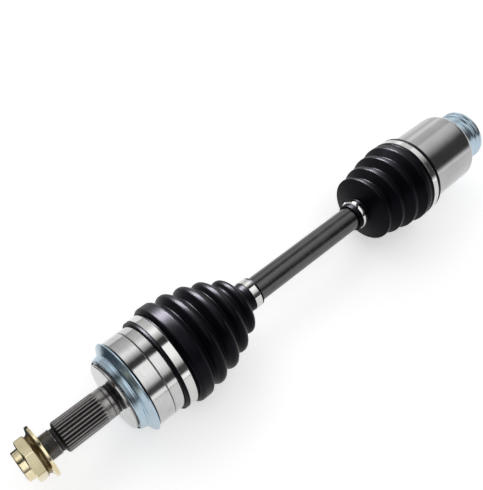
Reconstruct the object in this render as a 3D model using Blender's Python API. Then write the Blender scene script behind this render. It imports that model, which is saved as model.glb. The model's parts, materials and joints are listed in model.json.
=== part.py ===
"""A car's front drive shaft with its two constant velocity joints.

The shaft lies along X. At -X is the outer joint: a six-ball joint in a bell, whose stub goes through
the wheel hub and takes the hub nut. At +X is the inner joint: a three-roller joint that also slides
in its can, whose splined socket goes onto the gearbox side. Rubber boots close both joints.
Metres, Z up, the origin halfway along the whole shaft, on its axis.
"""

import math

import bmesh
import bpy
from mathutils import Matrix, Vector

# Round pieces are faceted with this many sides
SIDES_LARGE = 28
SIDES_SMALL = 20
SIDES_BALL = 12

# Clearances
SEAT_GAP = 0.0003  # between pieces that touch
RUN_GAP = 0.0007  # between the cage and what it turns in and on
TRACK_GAP = 0.0014  # around a ball or a roller in its track

# Shaft
CENTRE_DISTANCE = 0.379  # from the outer joint's centre to the inner joint's centre
BAR_RADIUS = 0.0126
SPLINE_RISE = 0.0009  # the shaft's splines stand this far above the bar
SPLINE_DEPTH = 0.0010
TEETH_BASE = 0.0012  # the teeth reach this far below their tips, into the bar
HIDDEN_TEETH = 18
COLLAR_RISE = 0.0015  # the collars stand this far above the splines
COLLAR_WIDTH = 0.0025
COLLAR_TAPER = 0.0050
SHAFT_END_LENGTH = 0.0045  # past the race and past the spider
CLIP_THICKNESS = 0.0016
CLIP_DEPTH = 0.0012  # how deep the clips' grooves are
CLIP_HEIGHT = 0.0032
CLIP_OPENING = math.radians(50)

# Outer joint: balls, cage, inner race
BALLS = 6
BALL_RADIUS = 0.0080
BALL_CIRCLE = 0.0300
CAGE_WALL = 0.0050
CAGE_HALF_WIDTH = 0.0140
WINDOW_GAP = 0.0005
RACE_HALF_WIDTH = 0.0110
RACE_SINK = 0.0020  # the race's sphere lies this far inside the ball circle
TRACK_SIDES = 12
TRACK_STEP = math.radians(10)

# Outer joint: bell and stub
BELL_WALL = 0.0035  # outside the ball tracks
BELL_MOUTH = 0.0180  # from the joint's centre to the bell's open end
BELL_BACK = 0.0222  # from the joint's centre to the bell's back corner
BELL_FLOOR = 0.0260
HUB_SEAT = 0.0385  # from the joint's centre to the face that the wheel bearing seats on
HUB_SEAT_RADIUS = 0.0295
SHOULDER_DROP = 0.0090  # the dust ring's seat lies this far below the bell's outside
BOOT_SEAT_DEPTH = 0.0012
BOOT_SEAT_LENGTH = 0.0125
MOUTH_LIP = 0.0024
LAND_RADIUS = 0.0146
LAND_LENGTH = 0.0125
NECK_WIDTH = 0.0018
HUB_TEETH = 28
HUB_SPLINE_RADIUS = 0.0148
HUB_SPLINE_DEPTH = 0.0013
HUB_SPLINE_LENGTH = 0.0420
RELIEF_LENGTH = 0.0035
RELIEF_DEPTH = 0.0012  # below the thread
THREAD_RADIUS = 0.0120
THREAD_SHOWING = 0.0110

# Axle nut
NUT_FLATS = 0.0360
NUT_FLANGE_RADIUS = 0.0244
NUT_FLANGE_HEIGHT = 0.0075
NUT_HEX_HEIGHT = 0.0085
NUT_COLLAR_HEIGHT = 0.0060
NUT_COLLAR_WALL = 0.0018
NUT_RIM = 0.0028  # how thick the flange is at its edge
NUT_CHAMFER = 0.0005
NUT_HEX_CHAMFER = 0.0018
NUT_TURN = math.radians(43)
STUB_SETBACK = 0.0025  # the stub's end lies this far inside the nut's collar

# Dust ring on the bell
BELL_RING_PROUD = 0.00195  # its rim stands this far above the bell
BELL_RING_SHEET = 0.0015

# Inner joint: spider, rollers, needles
ROLLERS = 3
ROLLER_RADIUS = 0.0145
ROLLER_WIDTH = 0.0100
ROLLER_CROWN = 0.0012
HUB_WALL = 0.0037  # of the spider's hub, outside its splined bore
HUB_HALF_WIDTH = 0.0115
TRUNNION_RADIUS = 0.0080
TRUNNION_STEP = 0.0015  # from the hub to the roller
TRUNNION_END = 0.0025  # past the roller
NEEDLE_DIAMETER = 0.0022
NEEDLES = 14
TRUNNION_CLIP_HEIGHT = 0.0024
INNER_BEND = math.radians(18)

# Inner joint: can and socket
CAN_WALL = 0.0039  # outside the corners of the roller tracks
CAN_DRAFT = 0.0008  # the can's outside narrows by this towards the socket
CAN_MOUTH = 0.0370  # from the joint's centre to the can's open end
CAN_FLOOR = 0.0425
CAN_LENGTH = 0.0870
CAN_CHAMFER = 0.0030
MOUTH_FLARE = 0.0325  # the radius of the bore at the can's open end
FLARE_END = 0.0050  # the flare meets the plain bore this far past the joint's centre
BORE_RADIUS = 0.0210
SOCKET_LENGTH = 0.0300  # the neck past the can
SOCKET_NECK_RADIUS = 0.0245
SOCKET_DEPTH = 0.0320
SOCKET_RADIUS = 0.0135
SOCKET_TEETH = 26

# Dust ring on the socket's neck
NECK_RING_RADIUS = 0.02895
NECK_RING_START = 0.0070  # from the can's end
NECK_RING_WIDTH = 0.0215
NECK_RING_SHEET = 0.0013

# Boots; each fold is its distance from the joint's centre and its height above the cuff
BOOT_WALL = 0.0022
CUFF_WALL = 0.0032
OUTER_CUFF = (0.0060, 0.0185)
OUTER_FOLDS = ((0.0275, 0.0045), (0.0471, 0.0028), (0.0650, -0.0009), (0.0817, -0.0069), (0.0992, -0.0161))
OUTER_FOLD_HALF = (0.0055, 0.0022, 0.0022, 0.0022, 0.0020)
OUTER_VALLEYS = ((0.0394, -0.0028), (0.0566, -0.0067), (0.0757, -0.0107), (0.0931, -0.0190))
OUTER_NECK = (0.1105, 0.1270)
INNER_CUFF_WALL = 0.0041
INNER_CUFF = (0.0194, 0.0325)
INNER_FOLDS = ((0.0400, 0.0013), (0.0580, -0.0010), (0.0754, -0.0047), (0.0928, -0.0080))
INNER_FOLD_HALF = (0.0025, 0.0022, 0.0022, 0.0018)
INNER_VALLEYS = ((0.0495, -0.0065), (0.0670, -0.0100), (0.0845, -0.0135))
INNER_NECK = (0.1000, 0.1140)
NECK_WALL = 0.0020

# Boot clamps
BAND_THICKNESS = 0.0008
OUTER_BIG_BAND = (0.0090, 0.0173)
OUTER_SMALL_BAND = (0.1172, 0.1246)
INNER_BIG_BAND = (0.0239, 0.0306)
INNER_SMALL_BAND = (0.1026, 0.1090)
BAND_RECESS = 0.0006
EAR_LENGTH = 0.0090
EAR_HEIGHT = 0.0024
EAR_ANGLE = math.radians(-50)

# What follows from these
SPLINE_TIP = BAR_RADIUS + SPLINE_RISE
COLLAR_RADIUS = SPLINE_TIP + COLLAR_RISE
RELIEF_RADIUS = THREAD_RADIUS - RELIEF_DEPTH
NUT_BORE = THREAD_RADIUS + SEAT_GAP
NUT_COLLAR_RADIUS = NUT_BORE + NUT_COLLAR_WALL
TRACK_RADIUS = (BALL_RADIUS + TRACK_GAP) / math.cos(math.pi / TRACK_SIDES)
BELL_RADIUS = BALL_CIRCLE + TRACK_RADIUS + BELL_WALL
RACE_RADIUS = BALL_CIRCLE - RACE_SINK
CAGE_INSIDE = RACE_RADIUS + RUN_GAP
CAGE_OUTSIDE = CAGE_INSIDE + CAGE_WALL
BELL_INSIDE = CAGE_OUTSIDE + RUN_GAP
NUT_HEIGHT = NUT_FLANGE_HEIGHT + NUT_HEX_HEIGHT + NUT_COLLAR_HEIGHT
LAND_END = HUB_SEAT + LAND_LENGTH
HUB_SPLINE_END = LAND_END + HUB_SPLINE_LENGTH
RELIEF_END = HUB_SPLINE_END + RELIEF_LENGTH
NUT_SEAT = RELIEF_END + THREAD_SHOWING
OUTER_LENGTH = NUT_SEAT + NUT_HEIGHT
SPIDER_RADIUS = SPLINE_TIP + SEAT_GAP + HUB_WALL
ROLLER_CIRCLE = SPIDER_RADIUS + TRUNNION_STEP + ROLLER_WIDTH / 2
ROLLER_TRACK = ROLLER_RADIUS + TRACK_GAP
TRACK_TOP = ROLLER_WIDTH / 2 * math.cos(INNER_BEND) + ROLLER_RADIUS * math.sin(INNER_BEND) + SEAT_GAP
CAN_RADIUS = math.hypot(ROLLER_CIRCLE + TRACK_TOP, math.sqrt(ROLLER_TRACK**2 - TRACK_TOP**2)) + CAN_WALL
CAN_END = CAN_LENGTH - CAN_MOUTH
INNER_LENGTH = CAN_END + SOCKET_LENGTH
OUTER_X = (OUTER_LENGTH - CENTRE_DISTANCE - INNER_LENGTH) / 2
INNER_X = OUTER_X + CENTRE_DISTANCE


def clear_scene():
    for thing in list(bpy.data.objects):
        bpy.data.objects.remove(thing)


def empty(name, place):
    """The axis point that the pieces of one moving body hang on."""
    holder = bpy.data.objects.new(name, None)
    holder.empty_display_size = 0.02
    holder.location = place
    bpy.context.collection.objects.link(holder)
    return holder


def piece_from(name, mesh):
    """A bmesh as an object, its faces pointing outwards."""
    bmesh.ops.recalc_face_normals(mesh, faces=mesh.faces)
    data = bpy.data.meshes.new(name)
    mesh.to_mesh(data)
    mesh.free()
    piece = bpy.data.objects.new(name, data)
    bpy.context.collection.objects.link(piece)
    return piece


def skinned(mesh, rings):
    """Faces between each ring of vertices and the next, and from the last back to the first."""
    for near, far in zip(rings, rings[1:] + rings[:1]):
        sides = max(len(near), len(far))
        if sides == 1:
            continue
        for side in range(sides):
            after = (side + 1) % sides
            corners = [near[side % len(near)], near[after % len(near)]]
            corners += [far[after % len(far)], far[side % len(far)]]
            mesh.faces.new(list(dict.fromkeys(corners)))


def turned(name, outline, centre_x, sides=SIDES_LARGE):
    """A solid turned about X from (x, radius) points; a point of radius 0 lies on the axis."""
    mesh = bmesh.new()
    rings = []
    for x, radius in outline:
        count = sides if radius else 1
        angles = [2 * math.pi * side / sides for side in range(count)]
        points = [(centre_x + x, radius * math.cos(a), radius * math.sin(a)) for a in angles]
        rings.append([mesh.verts.new(point) for point in points])
    skinned(mesh, rings)
    return piece_from(name, mesh)


def prism(name, outline, start_x, end_x):
    """A solid drawn out along X from (y, z) points."""
    mesh = bmesh.new()
    face = mesh.faces.new([mesh.verts.new((start_x, y, z)) for y, z in outline])
    drawn = bmesh.ops.extrude_face_region(mesh, geom=[face])
    moved = [item for item in drawn["geom"] if isinstance(item, bmesh.types.BMVert)]
    bmesh.ops.translate(mesh, verts=moved, vec=(end_x - start_x, 0, 0))
    return piece_from(name, mesh)


def block(name, size, place, turn=0.0):
    """A box, its centre at place, turned about X with its place."""
    mesh = bmesh.new()
    bmesh.ops.create_cube(mesh, size=1)
    bmesh.ops.scale(mesh, verts=mesh.verts, vec=size)
    bmesh.ops.translate(mesh, verts=mesh.verts, vec=place)
    bmesh.ops.rotate(mesh, verts=mesh.verts, cent=(0, 0, 0), matrix=Matrix.Rotation(turn, 3, "X"))
    return piece_from(name, mesh)


def spline_outline(tip, depth, teeth, gap=0.0):
    """The (y, z) outline of a splined rod, each tooth a trapezium; a gap makes it the bore's."""
    pitch = 2 * math.pi / teeth
    points = []
    for tooth in range(teeth):
        middle = tooth * pitch
        at_root = 0.34 * pitch + gap / tip
        at_tip = 0.20 * pitch + gap / tip
        root = tip - depth
        for radius, turn in ((root, -at_root), (tip, -at_tip), (tip, at_tip), (root, at_root)):
            angle = middle + turn
            points.append(((radius + gap) * math.cos(angle), (radius + gap) * math.sin(angle)))
    return points


def combined(piece, tools, operation):
    """The piece with each tool cut from it or joined to it, the tools used up."""
    for tool in tools:
        step = piece.modifiers.new(tool.name, "BOOLEAN")
        step.operation = operation
        step.solver = "EXACT"
        step.object = tool
    bpy.context.view_layer.update()
    evaluated = piece.evaluated_get(bpy.context.evaluated_depsgraph_get())
    solid = bpy.data.meshes.new_from_object(evaluated)
    piece.modifiers.clear()
    piece.data = solid
    for tool in tools:
        bpy.data.objects.remove(tool)
    return piece


def finished(piece, body, colour, roughness, metallic):
    """The piece shaded, given its own material and hung on its body's axis."""
    material = bpy.data.materials.new(piece.name)
    material.use_nodes = True
    shader = material.node_tree.nodes["Principled BSDF"]
    shader.inputs["Base Color"].default_value = (*colour, 1)
    shader.inputs["Roughness"].default_value = roughness
    shader.inputs["Metallic"].default_value = metallic
    piece.data.materials.clear()
    piece.data.materials.append(material)
    piece.data.shade_smooth()
    piece.data.set_sharp_from_angle(angle=math.radians(30))
    piece.parent = body
    bpy.context.view_layer.update()
    piece.matrix_parent_inverse = body.matrix_world.inverted()


def steel(piece, body):
    finished(piece, body, (0.62, 0.62, 0.63), 0.28, 1.0)


def dark_steel(piece, body):
    finished(piece, body, (0.06, 0.06, 0.065), 0.35, 0.9)


def zinc(piece, body):
    finished(piece, body, (0.62, 0.72, 0.80), 0.22, 1.0)


def yellow_zinc(piece, body):
    finished(piece, body, (0.72, 0.66, 0.42), 0.35, 1.0)


def rubber(piece, body):
    finished(piece, body, (0.018, 0.018, 0.02), 0.45, 0.0)


def sphere_arc(radius, start_x, end_x, steps):
    """(x, radius) points along a sphere about the joint's centre, from one X to another."""
    first = math.acos(start_x / radius)
    last = math.acos(end_x / radius)
    angles = [first + (last - first) * step / steps for step in range(steps + 1)]
    return [(radius * math.cos(angle), radius * math.sin(angle)) for angle in angles]


def ball_tracks(start, end):
    """One cutter for each ball track: a tube bent round the joint's centre, from one angle to another."""
    steps = round((end - start) / TRACK_STEP)
    cutters = []
    for ball in range(BALLS):
        mesh = bmesh.new()
        rings = []
        for step in range(steps + 1):
            along = start + (end - start) * step / steps
            ring = []
            for side in range(TRACK_SIDES):
                around = 2 * math.pi * (side + 0.5) / TRACK_SIDES
                out = BALL_CIRCLE + TRACK_RADIUS * math.cos(around)
                across = TRACK_RADIUS * math.sin(around)
                ring.append(mesh.verts.new((out * math.sin(along), across, out * math.cos(along))))
            rings.append(ring)
        for near, far in zip(rings, rings[1:]):
            for side in range(TRACK_SIDES):
                after = (side + 1) % TRACK_SIDES
                mesh.faces.new((near[side], near[after], far[after], far[side]))
        mesh.faces.new(rings[0])
        mesh.faces.new(list(reversed(rings[-1])))
        turn = Matrix.Rotation(2 * math.pi * ball / BALLS, 4, "X")
        bmesh.ops.transform(mesh, matrix=Matrix.Translation((OUTER_X, 0, 0)) @ turn, verts=mesh.verts)
        cutters.append(piece_from(f"ball_track_{ball + 1}", mesh))
    return cutters


def clip(name, start_x, inside, outside, body):
    """A C-shaped spring clip in its groove, square in section, open at the top."""
    mesh = bmesh.new()
    rings = []
    steps = SIDES_SMALL
    for step in range(steps + 1):
        angle = math.pi / 2 + CLIP_OPENING / 2 + (2 * math.pi - CLIP_OPENING) * step / steps
        corners = ((0, inside), (CLIP_THICKNESS, inside), (CLIP_THICKNESS, outside), (0, outside))
        points = [(start_x + x, r * math.cos(angle), r * math.sin(angle)) for x, r in corners]
        rings.append([mesh.verts.new(point) for point in points])
    for near, far in zip(rings, rings[1:]):
        for side in range(4):
            after = (side + 1) % 4
            mesh.faces.new((near[side], near[after], far[after], far[side]))
    mesh.faces.new(rings[0])
    mesh.faces.new(list(reversed(rings[-1])))
    steel(piece_from(name, mesh), body)


def shaft(body):
    """The bar: splined into the race and the spider, with a collar behind each and a clip groove past it."""
    race_end = RACE_HALF_WIDTH + SEAT_GAP
    hub_end = HUB_HALF_WIDTH + SEAT_GAP
    root = SPLINE_TIP - SPLINE_DEPTH
    groove = SPLINE_TIP - CLIP_DEPTH
    slack = SEAT_GAP
    half = [
        (0, 0),
        (0, root - 0.001),
        (0.001, root),
        (SHAFT_END_LENGTH - CLIP_THICKNESS - 2 * slack, root),
        (SHAFT_END_LENGTH - CLIP_THICKNESS - 2 * slack, groove),
        (SHAFT_END_LENGTH, groove),
        (SHAFT_END_LENGTH, root),
    ]
    after = [(0, root), (0, COLLAR_RADIUS), (COLLAR_WIDTH, COLLAR_RADIUS)]
    after += [(COLLAR_WIDTH + COLLAR_TAPER, BAR_RADIUS)]
    outer_end = OUTER_X - race_end - SHAFT_END_LENGTH
    inner_end = INNER_X + hub_end + SHAFT_END_LENGTH
    outline = [(outer_end + x, radius) for x, radius in half]
    outline += [(OUTER_X + race_end + x, radius) for x, radius in after]
    outline += [(INNER_X - hub_end - x, radius) for x, radius in reversed(after)]
    outline += [(inner_end - x, radius) for x, radius in reversed(half)]
    bar = turned("shaft", outline, 0, SIDES_SMALL)
    teeth = spline_outline(SPLINE_TIP, TEETH_BASE, HIDDEN_TEETH)
    overrun = SEAT_GAP / 2
    splines = [
        prism("race_spline", teeth, OUTER_X - race_end + overrun, OUTER_X + race_end + overrun),
        prism("spider_spline", teeth, INNER_X - hub_end - overrun, INNER_X + hub_end - overrun),
    ]
    dark_steel(combined(bar, splines, "UNION"), body)
    clip_inside = groove + SEAT_GAP
    clip_outside = clip_inside + CLIP_HEIGHT
    clip("race_clip", OUTER_X - race_end - CLIP_THICKNESS - slack, clip_inside, clip_outside, body)
    clip("spider_clip", INNER_X + hub_end + slack, clip_inside, clip_outside, body)


def inner_race(body):
    """The ball joint's core: part of a sphere with a track for each ball and a splined bore."""
    bore = SPLINE_TIP - TEETH_BASE
    outline = [(-RACE_HALF_WIDTH, bore - 0.001)]
    outline += sphere_arc(RACE_RADIUS, -RACE_HALF_WIDTH, RACE_HALF_WIDTH, 4)
    outline += [(RACE_HALF_WIDTH, bore - 0.001)]
    race = turned("inner_race", outline, OUTER_X)
    teeth = spline_outline(SPLINE_TIP, TEETH_BASE, HIDDEN_TEETH, SEAT_GAP)
    past = RACE_HALF_WIDTH + 0.002
    cutters = ball_tracks(-math.radians(50), math.radians(50))
    cutters.append(prism("race_bore", teeth, OUTER_X - past, OUTER_X + past))
    steel(combined(race, cutters, "DIFFERENCE"), body)


def cage_and_balls(body):
    """The cage that holds the balls in the half-angle plane, and the balls."""
    outline = sphere_arc(CAGE_OUTSIDE, -CAGE_HALF_WIDTH, CAGE_HALF_WIDTH, 4)
    outline += sphere_arc(CAGE_INSIDE, CAGE_HALF_WIDTH, -CAGE_HALF_WIDTH, 4)
    cage = turned("ball_cage", outline, OUTER_X)
    window = (2 * (BALL_RADIUS + WINDOW_GAP), 2 * (BALL_RADIUS + TRACK_GAP), 4 * CAGE_WALL)
    windows = []
    for ball in range(BALLS):
        turn = 2 * math.pi * ball / BALLS
        windows.append(block(f"window_{ball + 1}", window, (OUTER_X, 0, BALL_CIRCLE), turn))
        mesh = bmesh.new()
        rows = SIDES_BALL // 2 + 2
        bmesh.ops.create_uvsphere(mesh, u_segments=SIDES_BALL, v_segments=rows, radius=BALL_RADIUS)
        place = Matrix.Rotation(turn, 4, "X") @ Vector((OUTER_X, 0, BALL_CIRCLE))
        bmesh.ops.translate(mesh, verts=mesh.verts, vec=place)
        steel(piece_from(f"ball_{ball + 1}", mesh), body)
    steel(combined(cage, windows, "DIFFERENCE"), body)


def outer_housing(body):
    """The bell with its ball tracks, forged in one with the splined and threaded stub."""
    shoulder = BELL_RADIUS - SHOULDER_DROP
    boot_seat = BELL_RADIUS - BOOT_SEAT_DEPTH
    stub_end = OUTER_LENGTH - STUB_SETBACK
    spline_root = HUB_SPLINE_RADIUS - HUB_SPLINE_DEPTH
    outline = [
        (-stub_end, 0),
        (-stub_end, THREAD_RADIUS - 0.0015),
        (-stub_end + 0.0015, THREAD_RADIUS),
        (-RELIEF_END, THREAD_RADIUS),
        (-RELIEF_END + 0.0008, RELIEF_RADIUS),
        (-HUB_SPLINE_END, RELIEF_RADIUS),
        (-HUB_SPLINE_END + 0.0020, spline_root),
        (-LAND_END, spline_root),
        (-LAND_END + 0.0012, LAND_RADIUS),
        (-HUB_SEAT - NECK_WIDTH, LAND_RADIUS),
        (-HUB_SEAT - NECK_WIDTH / 2, LAND_RADIUS - 0.0008),
        (-HUB_SEAT, LAND_RADIUS + 0.0004),
        (-HUB_SEAT, HUB_SEAT_RADIUS),
        (-HUB_SEAT + 0.0013, (HUB_SEAT_RADIUS + shoulder) / 2 + 0.0010),
        (-HUB_SEAT + 0.0042, shoulder),
        (-BELL_BACK - 0.0050, shoulder),
        (-BELL_BACK - 0.0050, shoulder + 0.0018),
        (-BELL_BACK, BELL_RADIUS),
        (BELL_MOUTH - BOOT_SEAT_LENGTH, BELL_RADIUS),
        (BELL_MOUTH - BOOT_SEAT_LENGTH, boot_seat),
        (BELL_MOUTH, boot_seat),
        (BELL_MOUTH, boot_seat - MOUTH_LIP),
    ]
    outline += sphere_arc(BELL_INSIDE, 0.0050, -0.0240, 4)
    outline += [(-BELL_FLOOR, BELL_INSIDE * 0.6), (-BELL_FLOOR, 0)]
    bell = turned("outer_housing", outline, OUTER_X)
    teeth = spline_outline(HUB_SPLINE_RADIUS, HUB_SPLINE_DEPTH * 1.1, HUB_TEETH)
    rod = prism("hub_spline", teeth, OUTER_X - HUB_SPLINE_END + 0.0012, OUTER_X - LAND_END + 0.0004)
    combined(bell, [rod], "UNION")
    tracks = ball_tracks(-math.radians(40), math.radians(50))
    steel(combined(bell, tracks, "DIFFERENCE"), body)


def axle_nut(body):
    """The hub nut: a flange, a hexagon and a thin collar that is staked into the stub."""
    corner = NUT_FLATS / math.sqrt(3)
    neck = NUT_FLATS / 2 - NUT_CHAMFER
    seat = -NUT_SEAT
    shoulder = seat - NUT_FLANGE_HEIGHT
    top = shoulder - NUT_HEX_HEIGHT
    end = top - NUT_COLLAR_HEIGHT
    inside_bore = NUT_BORE - 0.0001
    outline = [
        (seat, NUT_BORE),
        (seat, NUT_FLANGE_RADIUS - NUT_CHAMFER),
        (seat - NUT_CHAMFER, NUT_FLANGE_RADIUS),
        (seat - NUT_RIM, NUT_FLANGE_RADIUS),
        (shoulder, neck),
        (top + 2 * NUT_CHAMFER, neck),
        (top + 2 * NUT_CHAMFER, NUT_COLLAR_RADIUS),
        (end + NUT_CHAMFER, NUT_COLLAR_RADIUS),
        (end, NUT_COLLAR_RADIUS - NUT_CHAMFER),
        (end, NUT_BORE),
    ]
    nut = turned("axle_nut", outline, OUTER_X)
    chamfered = [
        (seat - NUT_RIM, inside_bore),
        (seat - NUT_RIM, corner),
        (top + NUT_HEX_CHAMFER, corner),
        (top, neck),
        (top, inside_bore),
    ]
    hexagon = turned("nut_hexagon", chamfered, OUTER_X)
    angles = [NUT_TURN + math.pi * side / 3 for side in range(6)]
    corners = [(corner * math.cos(angle), corner * math.sin(angle)) for angle in angles]
    flats = prism("nut_flats", corners, OUTER_X + seat, OUTER_X + end)
    combined(hexagon, [flats], "INTERSECT")
    yellow_zinc(combined(nut, [hexagon], "UNION"), body)


def bell_dust_ring(body):
    """The pressed ring on the bell's shoulder that keeps dirt from the wheel bearing's seal."""
    inside = BELL_RADIUS - SHOULDER_DROP + SEAT_GAP
    rim = BELL_RADIUS + BELL_RING_PROUD
    back = -BELL_BACK
    outline = [
        (back - 0.0116, inside),
        (back - 0.0116, inside + BELL_RING_SHEET),
        (back - 0.0080, inside + BELL_RING_SHEET + 0.0013),
        (back - 0.0066, inside + BELL_RING_SHEET + 0.0006),
        (back - 0.0020, rim),
        (back - 0.0007, rim),
        (back - 0.0007, rim - BELL_RING_SHEET),
        (back - 0.0054, inside + BELL_RING_SHEET),
        (back - 0.0054, inside),
    ]
    zinc(turned("outer_dust_ring", outline, OUTER_X), body)


def spider(body):
    """The three-armed hub on the shaft's inner end."""
    bore = SPLINE_TIP - TEETH_BASE
    outline = [
        (-HUB_HALF_WIDTH, bore - 0.001),
        (-HUB_HALF_WIDTH, SPIDER_RADIUS - 0.001),
        (-HUB_HALF_WIDTH + 0.001, SPIDER_RADIUS),
        (HUB_HALF_WIDTH - 0.001, SPIDER_RADIUS),
        (HUB_HALF_WIDTH, SPIDER_RADIUS - 0.001),
        (HUB_HALF_WIDTH, bore - 0.001),
    ]
    hub = turned("spider", outline, INNER_X, SIDES_SMALL)
    top = ROLLER_CIRCLE + ROLLER_WIDTH / 2 + TRUNNION_END
    groove = ROLLER_CIRCLE + ROLLER_WIDTH / 2 + SEAT_GAP
    arms = []
    for arm in range(ROLLERS):
        profile = [
            (SPLINE_TIP + 0.001, 0),
            (SPLINE_TIP + 0.001, TRUNNION_RADIUS),
            (groove, TRUNNION_RADIUS),
            (groove, TRUNNION_RADIUS - CLIP_DEPTH),
            (groove + CLIP_THICKNESS + 2 * SEAT_GAP, TRUNNION_RADIUS - CLIP_DEPTH),
            (groove + CLIP_THICKNESS + 2 * SEAT_GAP, TRUNNION_RADIUS - 0.0005),
            (top, TRUNNION_RADIUS - 0.0008),
            (top, 0),
        ]
        trunnion = turned(f"trunnion_{arm + 1}", profile, 0, SIDES_SMALL)
        trunnion.data.transform(on_trunnion(arm))
        arms.append(trunnion)
    combined(hub, arms, "UNION")
    teeth = spline_outline(SPLINE_TIP, TEETH_BASE, HIDDEN_TEETH, SEAT_GAP)
    past = HUB_HALF_WIDTH + 0.002
    cutter = prism("spider_bore", teeth, INNER_X - past, INNER_X + past)
    steel(combined(hub, [cutter], "DIFFERENCE"), body)


def on_trunnion(arm):
    """Takes what is turned about X to the trunnion's own axis; the first trunnion points up."""
    upright = Matrix.Rotation(-math.pi / 2, 4, "Y")
    turn = Matrix.Rotation(2 * math.pi * arm / ROLLERS, 4, "X")
    return Matrix.Translation((INNER_X, 0, 0)) @ turn @ upright


def roller_set(arm, shaft_body):
    """A barrel roller on its ring of needles, and the ring that keeps them on the trunnion."""
    axis = on_trunnion(arm)
    body = empty(f"roller_axis_{arm + 1}", axis @ Vector((ROLLER_CIRCLE, 0, 0)))
    low = ROLLER_CIRCLE - ROLLER_WIDTH / 2
    high = ROLLER_CIRCLE + ROLLER_WIDTH / 2
    needle_inside = TRUNNION_RADIUS + SEAT_GAP
    roller_inside = needle_inside + NEEDLE_DIAMETER + SEAT_GAP
    edge = ROLLER_RADIUS - ROLLER_CROWN
    outline = [
        (low, roller_inside),
        (low, edge),
        ((low + ROLLER_CIRCLE) / 2, ROLLER_RADIUS - ROLLER_CROWN / 4),
        (ROLLER_CIRCLE, ROLLER_RADIUS),
        ((high + ROLLER_CIRCLE) / 2, ROLLER_RADIUS - ROLLER_CROWN / 4),
        (high, edge),
        (high, roller_inside),
    ]
    roller = turned(f"roller_{arm + 1}", outline, 0, SIDES_SMALL)
    roller.data.transform(axis)
    steel(roller, body)
    needles = bpy.data.objects.new(f"needles_{arm + 1}", needle_ring(needle_inside, low, high))
    bpy.context.collection.objects.link(needles)
    needles.data.transform(axis)
    steel(needles, body)
    keeper_inside = TRUNNION_RADIUS - CLIP_DEPTH + SEAT_GAP
    outer = keeper_inside + TRUNNION_CLIP_HEIGHT + CLIP_DEPTH
    start = high + 2 * SEAT_GAP
    profile = [(start, keeper_inside), (start, outer)]
    profile += [(start + CLIP_THICKNESS, outer), (start + CLIP_THICKNESS, keeper_inside)]
    keeper = turned(f"trunnion_ring_{arm + 1}", profile, 0, SIDES_SMALL)
    keeper.data.transform(axis)
    steel(keeper, shaft_body)


def needle_ring(inside, low, high):
    """The needles side by side as one fluted ring, its outside scalloped between them."""
    mesh = bmesh.new()
    tip = inside + NEEDLE_DIAMETER
    points = []
    for step in range(2 * NEEDLES):
        radius = tip if step % 2 == 0 else tip - NEEDLE_DIAMETER * 0.3
        angle = math.pi * step / NEEDLES
        points.append((radius * math.cos(angle), radius * math.sin(angle)))
    bore = [(y * inside / math.hypot(y, z), z * inside / math.hypot(y, z)) for y, z in points]
    rings = []
    for x, outline in ((low, points), (high, points), (high, bore), (low, bore)):
        rings.append([mesh.verts.new((x, y, z)) for y, z in outline])
    skinned(mesh, rings)
    bmesh.ops.recalc_face_normals(mesh, faces=mesh.faces)
    data = bpy.data.meshes.new("needles")
    mesh.to_mesh(data)
    mesh.free()
    return data


def roller_track(arm):
    """The cutter for one roller's track: round at the sides, flat over the roller's end."""
    top = ROLLER_CIRCLE + TRACK_TOP
    reach = math.asin(TRACK_TOP / ROLLER_TRACK)
    steps = 10
    outline = []
    for step in range(steps + 1):
        angle = reach - (math.pi + 2 * reach) * step / steps
        radius = ROLLER_TRACK / math.cos((math.pi + 2 * reach) / steps / 2)
        outline.append((radius * math.cos(angle), min(ROLLER_CIRCLE + radius * math.sin(angle), top)))
    cutter = prism(f"roller_track_{arm + 1}", outline, INNER_X - CAN_MOUTH - 0.002, INNER_X + CAN_FLOOR)
    turn = Matrix.Rotation(2 * math.pi * arm / ROLLERS, 4, "X")
    cutter.data.transform(turn)
    return cutter


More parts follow.
